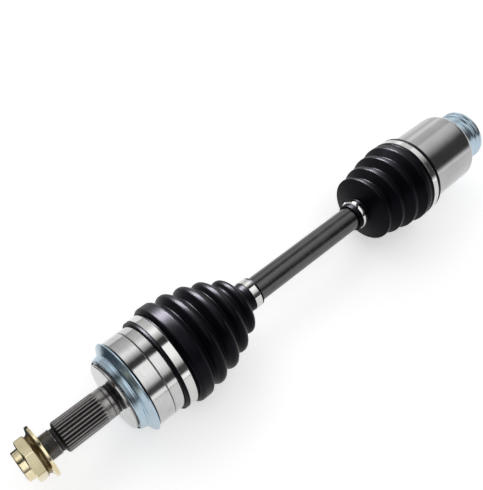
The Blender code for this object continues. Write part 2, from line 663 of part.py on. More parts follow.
def inner_housing(body):
    """The can with its three roller tracks, in one with the neck and its splined socket."""
    end_radius = CAN_RADIUS - CAN_DRAFT
    mouth = -CAN_MOUTH
    neck_end = INNER_LENGTH
    outline = [
        (mouth, CAN_RADIUS),
        (CAN_END - CAN_CHAMFER * 1.6, end_radius),
        (CAN_END - CAN_CHAMFER * 0.5, end_radius - CAN_CHAMFER * 0.5),
        (CAN_END, end_radius - CAN_CHAMFER * 1.4),
        (CAN_END, SOCKET_NECK_RADIUS + 0.0020),
        (CAN_END + 0.0020, SOCKET_NECK_RADIUS),
        (neck_end - 0.0010, SOCKET_NECK_RADIUS),
        (neck_end, SOCKET_NECK_RADIUS - 0.0010),
        (neck_end, 0),
        (mouth, 0),
    ]
    can = turned("inner_housing", outline, INNER_X)
    bore = [
        (mouth - 0.001, 0),
        (mouth - 0.001, MOUTH_FLARE),
        (mouth, MOUTH_FLARE),
        (FLARE_END, BORE_RADIUS),
        (CAN_FLOOR, BORE_RADIUS),
        (CAN_FLOOR, 0),
    ]
    socket = [
        (neck_end + 0.001, 0),
        (neck_end + 0.001, SOCKET_RADIUS + 0.0030),
        (neck_end, SOCKET_RADIUS + 0.0020),
        (neck_end - 0.0020, SOCKET_RADIUS),
        (neck_end - SOCKET_DEPTH, SOCKET_RADIUS),
        (neck_end - SOCKET_DEPTH, 0),
    ]
    teeth = spline_outline(SOCKET_RADIUS + 0.0011, 0.0014, SOCKET_TEETH)
    cutters = [turned("can_bore", bore, INNER_X), turned("socket_bore", socket, INNER_X, SIDES_SMALL)]
    socket_end = INNER_X + neck_end
    cutters.append(prism("socket_spline", teeth, socket_end - SOCKET_DEPTH + 0.003, socket_end + 0.001))
    cutters += [roller_track(arm) for arm in range(ROLLERS)]
    steel(combined(can, cutters, "DIFFERENCE"), body)


def neck_dust_ring(body):
    """The stepped pressed ring on the socket's neck."""
    start = CAN_END + NECK_RING_START
    end = start + NECK_RING_WIDTH
    inside = SOCKET_NECK_RADIUS + SEAT_GAP
    rim = NECK_RING_RADIUS
    outline = [
        (start, inside),
        (start, rim - 0.0022),
        (start + 0.0010, rim - 0.0014),
        (start + 0.0070, rim - 0.0012),
        (start + 0.0085, rim - 0.0022),
        (start + 0.0125, rim - 0.0020),
        (start + 0.0140, rim - 0.0008),
        (start + 0.0175, rim - 0.0008),
        (start + 0.0185, rim),
        (end, rim),
        (end, rim - NECK_RING_SHEET),
        (start + 0.0150, rim - NECK_RING_SHEET - 0.0010),
        (start + 0.0120, inside),
    ]
    zinc(turned("inner_dust_ring", outline, INNER_X), body)


def boot(name, centre_x, away, seat_radius, cuff_wall, cuff, folds, halves, valleys, neck, bands, body):
    """A rubber bellows: a cuff on the joint, folds that narrow towards the bar, and a neck on the bar.

    away is 1 where the neck lies at +X of the joint and -1 where it lies at -X.
    """
    inside = seat_radius + SEAT_GAP
    outside = inside + cuff_wall
    neck_inside = BAR_RADIUS + SEAT_GAP
    neck_outside = neck_inside + NECK_WALL
    skin = [(cuff[1], outside)]
    lining = [(cuff[1], inside)]
    for index, ((place, rise), half) in enumerate(zip(folds, halves)):
        skin += [(place - half, outside + rise), (place + half, outside + rise)]
        lining.append((place, outside + rise - BOOT_WALL))
        if index < len(valleys):
            place, rise = valleys[index]
            skin.append((place, outside + rise))
            lining.append((place, outside + rise - BOOT_WALL))
    small = bands[1]
    outline = [(cuff[0], inside), (cuff[0], outside)] + skin
    outline += [
        (neck[0], neck_outside),
        (small[0] - SEAT_GAP, neck_outside),
        (small[0] - SEAT_GAP, neck_outside - BAND_RECESS),
        (small[1] + SEAT_GAP, neck_outside - BAND_RECESS),
        (small[1] + SEAT_GAP, neck_outside),
        (neck[1], neck_outside),
        (neck[1], neck_inside),
        (neck[0], neck_inside),
    ]
    outline += reversed(lining)
    outline = [(away * place, radius) for place, radius in outline]
    rubber(turned(name, outline, centre_x), body)
    return outside, neck_outside - BAND_RECESS


def band(name, centre_x, away, span, radius, body, sides):
    """A clamp: a steel band pulled tight by its pinched ear."""
    inside = radius + SEAT_GAP
    outside = inside + BAND_THICKNESS
    outline = [(span[0], inside), (span[0], outside), (span[1], outside), (span[1], inside)]
    ring = turned(name, [(away * place, r) for place, r in outline], centre_x, sides)
    size = (abs(span[1] - span[0]) * 0.8, EAR_HEIGHT, EAR_LENGTH)
    middle = centre_x + away * (span[0] + span[1]) / 2
    out = outside - BAND_THICKNESS / 4 + EAR_HEIGHT / 2
    ear = block(f"{name}_ear", size, (middle, out, 0), EAR_ANGLE)
    steel(combined(ring, [ear], "UNION"), body)


def main():
    clear_scene()
    bar_body = empty("bar_axis", (0, 0, 0))
    bell_body = empty("outer_joint_centre", (OUTER_X, 0, 0))
    cage_body = empty("cage_centre", (OUTER_X, 0, 0))
    boot_body = empty("inner_joint_centre", (INNER_X, 0, 0))
    can_body = empty("can_slide", (INNER_X, 0, 0))
    shaft(bar_body)
    inner_race(bar_body)
    cage_and_balls(cage_body)
    outer_housing(bell_body)
    axle_nut(bell_body)
    bell_dust_ring(bell_body)
    spider(bar_body)
    for arm in range(ROLLERS):
        roller_set(arm, bar_body)
    inner_housing(can_body)
    neck_dust_ring(can_body)
    seat = BELL_RADIUS - BOOT_SEAT_DEPTH
    bands = (OUTER_BIG_BAND, OUTER_SMALL_BAND)
    shape = (OUTER_CUFF, OUTER_FOLDS, OUTER_FOLD_HALF, OUTER_VALLEYS, OUTER_NECK, bands)
    big, small = boot("outer_boot", OUTER_X, 1, seat, CUFF_WALL, *shape, bell_body)
    band("outer_boot_clamp_large", OUTER_X, 1, OUTER_BIG_BAND, big, bell_body, SIDES_LARGE)
    band("outer_boot_clamp_small", OUTER_X, 1, OUTER_SMALL_BAND, small, bar_body, SIDES_LARGE)
    bands = (INNER_BIG_BAND, INNER_SMALL_BAND)
    shape = (INNER_CUFF, INNER_FOLDS, INNER_FOLD_HALF, INNER_VALLEYS, INNER_NECK, bands)
    big, small = boot("inner_boot", INNER_X, -1, CAN_RADIUS, INNER_CUFF_WALL, *shape, boot_body)
    band("inner_boot_clamp_large", INNER_X, -1, INNER_BIG_BAND, big, can_body, SIDES_LARGE)
    band("inner_boot_clamp_small", INNER_X, -1, INNER_SMALL_BAND, small, bar_body, SIDES_LARGE)


main()
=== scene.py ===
"""The looks of a car's front drive shaft with its two constant velocity joints.

The shaft lies along X, with the outer joint and its hub stub at -X and the inner joint at +X.
Outlines are (x, radius, ease) corners in millimetres from the centre of the joint they belong to.
"""

import json
import math

import bmesh
import bpy
import numpy as np
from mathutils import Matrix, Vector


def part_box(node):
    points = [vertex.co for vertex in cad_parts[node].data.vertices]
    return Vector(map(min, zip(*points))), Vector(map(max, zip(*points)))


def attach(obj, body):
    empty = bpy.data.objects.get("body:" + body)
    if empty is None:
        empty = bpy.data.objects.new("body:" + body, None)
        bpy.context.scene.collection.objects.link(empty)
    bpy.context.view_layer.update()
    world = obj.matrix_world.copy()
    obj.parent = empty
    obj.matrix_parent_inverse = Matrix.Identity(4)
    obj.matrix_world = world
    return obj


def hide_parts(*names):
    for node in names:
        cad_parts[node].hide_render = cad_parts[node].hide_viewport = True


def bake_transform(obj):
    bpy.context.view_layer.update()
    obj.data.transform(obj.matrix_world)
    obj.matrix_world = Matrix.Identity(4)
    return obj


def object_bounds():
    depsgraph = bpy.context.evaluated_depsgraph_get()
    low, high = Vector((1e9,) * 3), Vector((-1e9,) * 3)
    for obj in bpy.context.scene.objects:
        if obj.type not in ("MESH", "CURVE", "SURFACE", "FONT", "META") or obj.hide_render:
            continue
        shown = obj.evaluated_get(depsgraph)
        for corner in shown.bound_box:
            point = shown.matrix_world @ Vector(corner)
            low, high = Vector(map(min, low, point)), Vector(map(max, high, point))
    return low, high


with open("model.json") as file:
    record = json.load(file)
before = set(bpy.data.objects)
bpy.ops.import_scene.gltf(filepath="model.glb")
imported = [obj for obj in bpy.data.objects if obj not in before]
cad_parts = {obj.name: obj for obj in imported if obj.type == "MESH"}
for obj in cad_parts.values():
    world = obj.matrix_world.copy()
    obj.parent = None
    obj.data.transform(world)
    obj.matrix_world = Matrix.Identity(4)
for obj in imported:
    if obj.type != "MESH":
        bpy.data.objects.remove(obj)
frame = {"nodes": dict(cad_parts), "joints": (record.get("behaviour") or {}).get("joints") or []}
cad_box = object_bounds()

# ---------------------------------------------------------------------------------------------
# Studio: a white table in a white light tent, whose panels meet in two dark seams. Bright metal
# shows the seams as black lines along its length. A strip lamp shines on the rubber only, and a
# dark card on the table shows only where something mirrors it.

MM = 0.001
CAMERA_PLACE = (-0.308, -0.276, 0.536)
CAMERA_TILT = math.radians(39.6)
CAMERA_TURN = math.radians(-42.65)
CAMERA_LENS = 50.46
TABLE_SIZE = 6.0
TABLE_DROP = 0.0006
TENT_STRENGTH = 1.25
SEAM_ANGLE = 91.0  # degrees round X from +Y to the first seam, as seen straight across the shaft
SEAM_SWEEP = 78.0  # how many degrees less that is, seen straight along the shaft
FRONT_EDGE = 168.0  # degrees round X to the lower edge of the second seam
SEAM_WIDENING = 7.0  # how much wider the second seam is, seen straight along the shaft
SOFTBOX_POWER = 3.0
SOFTBOX_SIZE = 1.1
SOFTBOX_PLACE = (-0.25, 0.35, 1.3)
SOFTBOX_TURN = (math.radians(-15), math.radians(-11), 0.0)
STRIP_POWER = 150.0
STRIP_SIZE = (0.85, 0.38)
STRIP_PLACE = (0.22, 0.73, 0.66)
STRIP_TURN = (math.radians(-48), 0.0, math.radians(-20))
TABLE_GLOW = 0.52
CARD = ((-0.60, 0.02), (-0.24, 0.50))  # two opposite corners
CARD_LIFT = 0.001


def add(tree, kind, inputs, **settings):
    """A new shader node, whose inputs are linked if they are sockets and set if they are values."""
    made = tree.nodes.new("ShaderNode" + kind)
    for setting, value in settings.items():
        setattr(made, setting, value)
    for socket, value in inputs.items():
        if isinstance(value, bpy.types.NodeSocket):
            tree.links.new(value, made.inputs[socket])
        else:
            made.inputs[socket].default_value = value
    return made.outputs[0]


def sum_of(tree, operation, first, second=0.0):
    """One sum on two numbers or sockets."""
    return add(tree, "Math", {0: first, 1: second}, operation=operation)


def spread(tree, amount, low, high, to_low, to_high):
    """The amount carried from one range to another, and held at its ends."""
    return add(tree, "MapRange", {0: amount, 1: low, 2: high, 3: to_low, 4: to_high})


def shades(tree, amount, stops):
    """A colour ramp through (place, colour) stops."""
    colour = add(tree, "ValToRGB", {0: amount})
    ramp = colour.node.color_ramp
    while len(ramp.elements) < len(stops):
        ramp.elements.new(1.0)
    for element, (place, shade) in zip(ramp.elements, stops):
        element.position = place
        element.color = (*shade, 1.0)
    return colour


def panel_light(tree, angle, low, high, stops):
    """The tent's brightness at an angle in degrees, from (degrees, brightness) stops."""
    greys = [((at - low) / (high - low), (light,) * 3) for at, light in stops]
    return shades(tree, spread(tree, angle, low, high, 0.0, 1.0), greys)


camera = bpy.data.objects.new("camera", bpy.data.cameras.new("camera"))
camera.data.lens = CAMERA_LENS
camera.data.sensor_width = 36.0
camera.location = CAMERA_PLACE
camera.rotation_euler = (CAMERA_TILT, 0.0, CAMERA_TURN)
bpy.context.collection.objects.link(camera)
bpy.context.scene.camera = camera
bpy.context.scene.view_settings.view_transform = "Standard"

world = bpy.data.worlds.new("light_tent")
bpy.context.scene.world = world
world.use_nodes = True
tent = world.node_tree
tent.nodes.clear()
axes = add(tent, "SeparateXYZ", {0: add(tent, "TexCoord", {})}).node.outputs
around = sum_of(tent, "MULTIPLY", sum_of(tent, "ARCTAN2", axes[2], axes[1]), 180.0 / math.pi)
along_squared = sum_of(tent, "MULTIPLY", axes[0], axes[0])
sweep = sum_of(tent, "MULTIPLY", along_squared, SEAM_SWEEP)
past_seam = sum_of(tent, "SUBTRACT", sum_of(tent, "ADD", around, sweep), SEAM_ANGLE)
overhead = [(-100, 0.25), (-90, 0.35), (-78, 0.5), (-50, 0.7), (-36, 1.1), (-30, 1.1)]
overhead += [(-14, 0.35), (-8, 0.03), (7, 0.03), (9, 1.15), (60, 1.15)]
front = [(0, 1.0), (138, 1.0), (150, 0.62), (157, 0.05), (167, 0.05), (170, 0.95), (180, 0.95)]
overhead_light = panel_light(tent, past_seam, -120.0, 80.0, overhead)
widening = sum_of(tent, "MULTIPLY_ADD", along_squared, SEAM_WIDENING)
widening.node.inputs[2].default_value = 1.0
from_edge = sum_of(tent, "DIVIDE", sum_of(tent, "SUBTRACT", around, FRONT_EDGE), widening)
front_light = panel_light(tent, sum_of(tent, "ADD", from_edge, FRONT_EDGE), 0.0, 180.0, front)
gearbox_end = spread(tent, axes[0], 0.50, 0.64, 0.0, 0.75)  # bright from overhead at this end
overhead_light = sum_of(tent, "MAXIMUM", overhead_light, gearbox_end)
wheel_end = spread(tent, axes[0], -0.50, -0.12, 0.04, 1.0)  # dark all round at this end
panels = sum_of(tent, "MULTIPLY", overhead_light, front_light)
tent_light = sum_of(tent, "MULTIPLY", panels, wheel_end)
inputs = {0: add(tent, "LightPath", {}), 6: tent_light, 7: (1.0, 1.0, 1.0, 1.0)}
seen_light = add(tent, "Mix", inputs, data_type="RGBA").node.outputs[2]
background = add(tent, "Background", {0: seen_light, 1: TENT_STRENGTH})
tent.links.new(background, tent.nodes.new("ShaderNodeOutputWorld").inputs[0])

softbox_lamp = bpy.data.lights.new("softbox", "AREA")
softbox_lamp.energy = SOFTBOX_POWER
softbox_lamp.size = SOFTBOX_SIZE
softbox = bpy.data.objects.new("softbox", softbox_lamp)
softbox.location = SOFTBOX_PLACE
softbox.rotation_euler = SOFTBOX_TURN
softbox.visible_glossy = False
bpy.context.collection.objects.link(softbox)

strip_lamp = bpy.data.lights.new("strip", "AREA")
strip_lamp.shape = "RECTANGLE"
strip_lamp.energy = STRIP_POWER
strip_lamp.size, strip_lamp.size_y = STRIP_SIZE
strip = bpy.data.objects.new("strip", strip_lamp)
strip.location = STRIP_PLACE
strip.rotation_euler = STRIP_TURN
strip.visible_diffuse = False
strip_lit = bpy.data.collections.new("strip_lit")
strip.light_linking.receiver_collection = strip_lit
bpy.context.collection.objects.link(strip)


def dull(name, scale, dark, light, roughness):
    """A dull material whose colour drifts between two shades, and its shader."""
    material = bpy.data.materials.new(name)
    material.use_nodes = True
    tree = material.node_tree
    shader = tree.nodes["Principled BSDF"]
    place = add(tree, "TexCoord", {}).node.outputs["Object"]
    grain = add(tree, "TexNoise", {"Vector": place, "Scale": scale})
    tree.links.new(shades(tree, grain, [(0.3, dark), (0.7, light)]), shader.inputs["Base Color"])
    shader.inputs["Roughness"].default_value = roughness
    return material, shader


def flat_sheet(name, low, high, height, material):
    """A flat rectangle between two (x, y) corners, at a height."""
    corners = [(low[0], low[1], height), (high[0], low[1], height)]
    corners += [(high[0], high[1], height), (low[0], high[1], height)]
    mesh = bpy.data.meshes.new(name)
    mesh.from_pydata(corners, [], [(0, 1, 2, 3)])
    mesh.materials.append(material)
    sheet = bpy.data.objects.new(name, mesh)
    bpy.context.collection.objects.link(sheet)
    return sheet


half = TABLE_SIZE / 2
table_height = cad_box[0].z - TABLE_DROP
table_top, shader = dull("table_top", 9.0, (0.80, 0.80, 0.80), (0.82, 0.82, 0.82), 0.8)
shader.inputs["Emission Color"].default_value = (1.0, 1.0, 1.0, 1.0)
shader.inputs["Emission Strength"].default_value = TABLE_GLOW
table = flat_sheet("table", (-half, -half), (half, half), table_height, table_top)

dark_card, shader = dull("dark_card", 20.0, (0.04, 0.055, 0.075), (0.05, 0.07, 0.09), 1.0)
card = flat_sheet("card", *CARD, table_height + CARD_LIFT, dark_card)
card.visible_camera = card.visible_diffuse = card.visible_shadow = False

# ---------------------------------------------------------------------------------------------
# Axle nut: a flanged hexagon nut with a thin collar, zinc plated and passivated pale yellow. It is
# screwed onto the stub, and its collar is then punched into the stub's slot so that it can't turn.

anchors = {joint["name"]: joint["pos_m"][0] / MM for joint in frame["joints"] if "pos_m" in joint}
OUTER = anchors["outer_bend"]
INNER = anchors["inner_bend"]
NUT_SEAT = -107.5
NUT_FLANGE = 24.4
NUT_FLATS = 36.0
NUT_CORNERS = 20.5  # the radius that the hexagon's corners are turned down to
NUT_CHAMFER = 3.0
NUT_TURN = 43.0
NUT_NECK = 17.8
NUT_HEX_START = -114.0
NUT_HEX_END = -123.5
NUT_END = -129.5
NUT_COLLAR = 14.1
NUT_BORE = 12.35
ROUND_SIDES = 288


def eased(corners, closed=False, steps=5):
    """An outline from (x, radius, ease) corners, in order, which may close on itself.

    A corner with an ease becomes the parabola that starts and ends that far from it along its two
    sides, with one more point just outside each end to keep the sides straight.
    """
    places = np.array([corner[:2] for corner in corners], float)
    points = []
    for index, (here, corner) in enumerate(zip(places, corners)):
        ease = corner[2]
        at_end = not closed and index in (0, len(corners) - 1)
        if ease == 0 or at_end:
            points.append(here[None])
            continue
        before = places[index - 1] - here
        after = places[(index + 1) % len(places)] - here
        reach = min(ease, 0.4 * np.linalg.norm(before), 0.4 * np.linalg.norm(after))
        before = before / np.linalg.norm(before) * reach
        after = after / np.linalg.norm(after) * reach
        t = np.linspace(0, 1, steps)[:, None]
        curve = here + (1 - t) ** 2 * before + t**2 * after
        points.append(np.concatenate([here + 1.2 * before[None], curve, here + 1.2 * after[None]]))
    return np.concatenate(points)


def stretch(start, end, radius, step):
    """Outline points along a plain cylinder, close enough together to carry teeth or a thread."""
    x = np.linspace(start, end, int(abs(end - start) / step) + 1)
    return np.column_stack([x, np.full_like(x, radius)])


def round_x(outline, centre, radius, sides):
    """An outline turned about X, as a grid: y and z are radius times cosine and sine."""
    angle = np.arange(sides) * (2 * math.pi / sides)
    radius = np.broadcast_to(radius, (len(outline), sides))
    x = np.broadcast_to(outline[:, :1] + centre, radius.shape)
    return np.stack([x, radius * np.cos(angle), radius * np.sin(angle)], axis=-1) * MM


def surface(name, grid, closed_rows=True, closed_columns=True, sharp=35):
    """A mesh piece with a quad between each four neighbours on a grid of points.

    Points that fall together, as at a pole, are merged, and edges over the sharp angle stay crisp.
    """
    index = np.arange(grid.shape[0] * grid.shape[1]).reshape(grid.shape[:2])
    if closed_rows:
        index = np.concatenate([index, index[:1]])
    if closed_columns:
        index = np.concatenate([index, index[:, :1]], axis=1)
    quads = np.stack([index[:-1, :-1], index[1:, :-1], index[1:, 1:], index[:-1, 1:]], axis=-1)
    quads = quads.reshape(-1, 4)
    data = bpy.data.meshes.new(name)
    data.vertices.add(grid.shape[0] * grid.shape[1])
    data.vertices.foreach_set("co", grid.astype(np.float32).ravel())
    data.loops.add(quads.size)
    data.loops.foreach_set("vertex_index", quads.astype(np.int32).ravel())
    data.polygons.add(len(quads))
    data.polygons.foreach_set("loop_start", np.arange(0, quads.size, 4, dtype=np.int32))
    data.update(calc_edges=True)
    mesh = bmesh.new()
    mesh.from_mesh(data)
    bmesh.ops.remove_doubles(mesh, verts=mesh.verts, dist=1e-6)
    bmesh.ops.recalc_face_normals(mesh, faces=mesh.faces)
    mesh.to_mesh(data)
    mesh.free()
    data.shade_smooth()
    data.set_sharp_from_angle(angle=math.radians(sharp))
    made = bpy.data.objects.new(name, data)
    bpy.context.collection.objects.link(made)
    return made


def turned(name, outline, centre, radius=None, sides=ROUND_SIDES, sharp=35):
    """A piece turned about X from its outline; radius may give each point's own at each angle."""
    radius = outline[:, 1:2] if radius is None else radius
    closed = outline[0, 1] > 0
    return surface(name, round_x(outline, centre, radius, sides), closed_rows=closed, sharp=sharp)


def finish(name, metallic, roughness):
    """A new material with its shader's metallic and roughness set, and its node tree and shader."""
    material = bpy.data.materials.new(name)
    material.use_nodes = True
    shader = material.node_tree.nodes["Principled BSDF"]
    shader.inputs["Metallic"].default_value = metallic
    shader.inputs["Roughness"].default_value = roughness
    return material, material.node_tree, shader


def place_in(tree):
    """The point's place in the frame."""
    return add(tree, "TexCoord", {}).node.outputs["Object"]


def clouds(tree, scale, detail=3.0):
    """Soft uneven patches; scale is how many there are to a metre."""
    return add(tree, "TexNoise", {"Vector": place_in(tree), "Scale": scale, "Detail": detail})


def tool_marks(tree, scale):
    """The rings that a lathe tool leaves: noise on the distances along X and away from it."""
    across = add(tree, "VectorMath", {0: place_in(tree), 1: (0.0, 1.0, 1.0)}, operation="MULTIPLY")
    radius = add(tree, "VectorMath", {0: across}, operation="LENGTH").node.outputs["Value"]
    along = add(tree, "SeparateXYZ", {0: place_in(tree)})
    spot = add(tree, "CombineXYZ", {0: along, 1: radius, 2: 0.0})
    return add(tree, "TexNoise", {"Vector": spot, "Scale": scale, "Detail": 4.0})


def metal(name, dark, light, roughness, marks=2600.0, depth=0.004, patches=60.0):
    """Lathe-turned metal: its shade and gloss drift in patches, and fine tool marks ring it."""
    material, tree, shader = finish(name, 1.0, roughness)
    patch = clouds(tree, patches)
    ring = tool_marks(tree, marks)
    mixed = sum_of(tree, "MULTIPLY", patch, 0.6)
    mixed = sum_of(tree, "ADD", mixed, sum_of(tree, "MULTIPLY", ring, 0.4))
    tree.links.new(shades(tree, mixed, [(0.35, dark), (0.62, light)]), shader.inputs["Base Color"])
    gloss = spread(tree, mixed, 0.3, 0.7, roughness * 0.75, roughness * 1.3)
    tree.links.new(gloss, shader.inputs["Roughness"])
    relief = add(tree, "Bump", {"Strength": 0.6, "Distance": depth * MM, "Height": ring})
    tree.links.new(relief, shader.inputs["Normal"])
    return material


def fit(piece, material, body, slot, *nodes):
    """Gives a piece its material and its body, and lets it stand for CAD nodes; slot is not used.
    """
    piece.data.materials.append(material)
    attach(piece, body)
    if nodes:
        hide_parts(*nodes)
    return piece


chamfer_steps = np.linspace(0.04, 1.0, 20)
nut_outline = eased([
    (NUT_SEAT, NUT_BORE, 0.2),
    (NUT_SEAT, NUT_FLANGE, 0.5),
    (NUT_SEAT - 2.7, NUT_FLANGE, 0.5),
    (NUT_SEAT - 4.6, NUT_NECK + 1.0, 1.6),
    (NUT_HEX_START, NUT_NECK, 0.4),
    *((NUT_HEX_START - 1.6 * t, NUT_NECK + NUT_CHAMFER * t, 0.0) for t in chamfer_steps),
    *((NUT_HEX_END + 0.9 * t, NUT_NECK + NUT_CHAMFER * t, 0.0) for t in chamfer_steps[::-1]),
    (NUT_HEX_END, NUT_COLLAR + 0.3, 0.5),
    (NUT_END, NUT_COLLAR, 0.4),
    (NUT_END, NUT_BORE, 0.3),
], closed=True)
nut_angle = np.arange(360.0)
from_flat = np.radians((nut_angle - NUT_TURN) % 60.0 - 30.0)
hexagon = np.minimum(NUT_FLATS / 2 / np.cos(from_flat), NUT_CORNERS)
in_hex = nut_outline[:, :1] < NUT_SEAT - 3.2
nut_radius = np.where(in_hex, np.minimum(nut_outline[:, 1:], hexagon), nut_outline[:, 1:])
yellow_zinc = metal("yellow_zinc", (0.66, 0.57, 0.35), (0.80, 0.72, 0.49), 0.17, marks=1500.0)
# Painted shade: a dark brown zinc for the hollow behind the hexagon.
painted_shade_zinc = metal("painted_shade_zinc", (0.16, 0.11, 0.05), (0.30, 0.23, 0.12), 0.42)
nut = turned("hub_nut", nut_outline, OUTER, nut_radius, sides=len(nut_angle))
fit(nut, yellow_zinc, "bell", "yellow_zinc", "axle_nut")


def paint(piece, material, chosen):
    """Gives a second material to the faces that are chosen by their middle's x and radius."""
    piece.data.materials.append(material)
    middles = np.zeros(len(piece.data.polygons) * 3, np.float32)
    piece.data.polygons.foreach_get("center", middles)
    middles = middles.reshape(-1, 3) / MM
    faces = chosen(middles[:, 0] - OUTER, np.hypot(middles[:, 1], middles[:, 2]))
    piece.data.polygons.foreach_set("material_index", faces.astype(np.int32))


def behind_hexagon(x, radius):
    """True in the hollow between the nut's flange and its hexagon, where shade is painted in."""
    between = (x > NUT_HEX_START - 1.3) & (x < NUT_SEAT - 3.6)
    return between & (radius > NUT_BORE + 1.0) & (radius < NUT_CORNERS + 0.7)


# Paints shade into the hollow behind the hexagon.
paint(nut, painted_shade_zinc, behind_hexagon)

# ---------------------------------------------------------------------------------------------
# Stub and bell: one steel forging. The thread and the hub spline are dark with oil, and painted
# shade darkens the stub's neck, the bell's groove, its edge by the dust ring and the gap under
# the ring. The back and the outside of the bell are turned bright, and the ball tracks are milled.

THREAD_END = -127.0
THREAD_RADIUS = 12.0
THREAD_PITCH = 1.5
THREAD_DEPTH = 0.9
THREAD_RUNOUT = -96.5
SPLINE_START = -91.4
SPLINE_END = -52.2
HUB_SPLINE = 14.8
HUB_SPLINE_DEPTH = 1.3
HUB_TEETH = 28
LAND = 14.6
BACK = -38.5
SHOULDER = 34.23
BELL = 43.23
BELL_GROOVE = (-5.5, -4.2, 0.7)
BOOT_SEAT = 42.03
BELL_MOUTH = 18.0
BELL_HOLLOW = 34.4
BALL_CIRCLE = 30.0
BALL_TRACK = 9.4
STUB_SIDES = HUB_TEETH * 9


def ridges(angle, count, share=0.20, slope=0.35):
    """1 on the teeth and 0 between them: a tooth is a trapezium, that share of its pitch wide."""
    from_middle = np.abs((angle * count / (2 * math.pi) + 0.5) % 1.0 - 0.5) * 2
    return np.clip((share + slope - from_middle) / slope, 0, 1)


def ramp(x, start, end):
    """0 before start and 1 after end, and straight between."""
    return np.clip((x - start) / (end - start), 0, 1)


def track_radius(x, angle):
    """How far from X a ball track's wall is at an angle, for tracks bent round the joint's centre.

    The tube's points satisfy x2 + s + C2 - T2 = 2C sqrt(x2 + s cos2), where s is the radius
    squared, C the ball circle and T the track's radius. That is a quadratic in s, whose larger
    root is the outer wall. It is nan where the track doesn't pass.
    """
    from_track = (angle + math.pi / 6) % (math.pi / 3) - math.pi / 6
    k = x**2 + BALL_CIRCLE**2 - BALL_TRACK**2
    b = 2 * k - (2 * BALL_CIRCLE * np.cos(from_track)) ** 2
    c = k**2 - (2 * BALL_CIRCLE * x) ** 2
    with np.errstate(invalid="ignore"):
        return np.sqrt((np.sqrt(b**2 - 4 * c) - b) / 2)


stub_outside = np.concatenate([
    eased([(THREAD_END, 0.0, 0.0), (THREAD_END, 10.5, 0.3), (-125.5, THREAD_RADIUS, 0.0)]),
    stretch(-125.3, -97.0, THREAD_RADIUS, 0.25),
    eased([
        (-96.8, THREAD_RADIUS, 0.0),
        (-96.0, 10.8, 0.3),
        (-93.2, 10.8, 0.5),
        (-92.4, 13.3, 0.2),
        (SPLINE_START, HUB_SPLINE, 0.2),
        (-90.6, HUB_SPLINE, 0.0),
    ]),
    stretch(-90.0, -55.0, HUB_SPLINE, 5.0),
    stretch(-54.8, -51.4, HUB_SPLINE, 0.4),
    eased([
        (-51.2, HUB_SPLINE, 0.0),
        (-50.9, LAND, 0.1),
        (-45.4, LAND, 0.2),
        (-45.2, LAND - 0.5, 0.1),
        (-44.8, LAND - 0.5, 0.1),
        (-44.6, LAND, 0.2),
        (-41.6, LAND, 0.4),
        (-41.2, 13.7, 0.4),
        (BACK, 13.7, 1.2),
        (BACK, 32.3, 0.3),
        (-38.0, 32.8, 0.2),
        (-37.2, 32.8, 0.1),
        (-37.2, 32.2, 0.1),
        (-35.4, 32.2, 0.2),
        (-34.6, SHOULDER, 0.3),
        (-27.2, SHOULDER, 0.2),
        (-27.2, SHOULDER + 1.8, 0.4),
        (-22.2, BELL - 1.3, 0.3),
        (-21.1, BELL, 0.4),
        (BELL_GROOVE[0], BELL, 0.12),
        (sum(BELL_GROOVE[:2]) / 2, BELL - BELL_GROOVE[2], 0.1),
        (BELL_GROOVE[1], BELL, 0.12),
        (BELL_MOUTH - 12.5, BELL, 0.3),
        (BELL_MOUTH - 12.5, BOOT_SEAT, 0.2),
        (BELL_MOUTH, BOOT_SEAT, 0.4),
        (BELL_MOUTH, BOOT_SEAT - 2.4, 0.0),
    ]),
])
arc = np.arccos(np.linspace(5.0, -24.0, 28) / BELL_HOLLOW)
bell_inside = np.concatenate([
    np.column_stack([np.linspace(17.4, 6.0, 12), np.linspace(39.4, 34.3, 12)]),
    np.column_stack([BELL_HOLLOW * np.cos(arc), BELL_HOLLOW * np.sin(arc)]),
    [(-25.2, 22.5), (-26.0, 19.0), (-26.0, 0.0)],
])
stub_angle = np.arange(STUB_SIDES) * (2 * math.pi / STUB_SIDES)
x = stub_outside[:, :1]
thread_wave = np.abs((x / THREAD_PITCH + stub_angle / (2 * math.pi)) % 1.0 - 0.5) * 2
threaded = ramp(x, -126.4, -125.0) * (1 - ramp(x, -97.4, -96.7))
splined = ramp(x, SPLINE_START - 1.2, SPLINE_START)
splined = splined * (1 - ramp(x, SPLINE_END - 2.4, SPLINE_END + 0.6))
spaces = (1 - ridges(stub_angle, HUB_TEETH)) * HUB_SPLINE_DEPTH * splined
outside_radius = stub_outside[:, 1:] - THREAD_DEPTH * threaded * thread_wave
toothed_radius = np.minimum(outside_radius, HUB_SPLINE - spaces)
outside_radius = np.where(x < THREAD_RUNOUT, outside_radius, toothed_radius)
outside_radius = np.where(x > SPLINE_END + 0.9, stub_outside[:, 1:], outside_radius)
x = bell_inside[:, :1]
wall = track_radius(x, stub_angle)
milled = (wall > bell_inside[:, 1:]) & (x > -math.tan(math.radians(40)) * bell_inside[:, 1:])
inside_radius = np.where(milled, wall, bell_inside[:, 1:])
inside_radius[-1] = 0.0
bell_outline = np.concatenate([stub_outside, bell_inside])
bell_radius = np.concatenate([outside_radius, inside_radius])
turned_steel = metal("turned_steel", (0.46, 0.46, 0.46), (0.56, 0.56, 0.555), 0.11)
bell = turned("bell_and_stub", bell_outline, OUTER, bell_radius, sides=STUB_SIDES)
fit(bell, turned_steel, "bell", "turned_steel", "outer_housing")
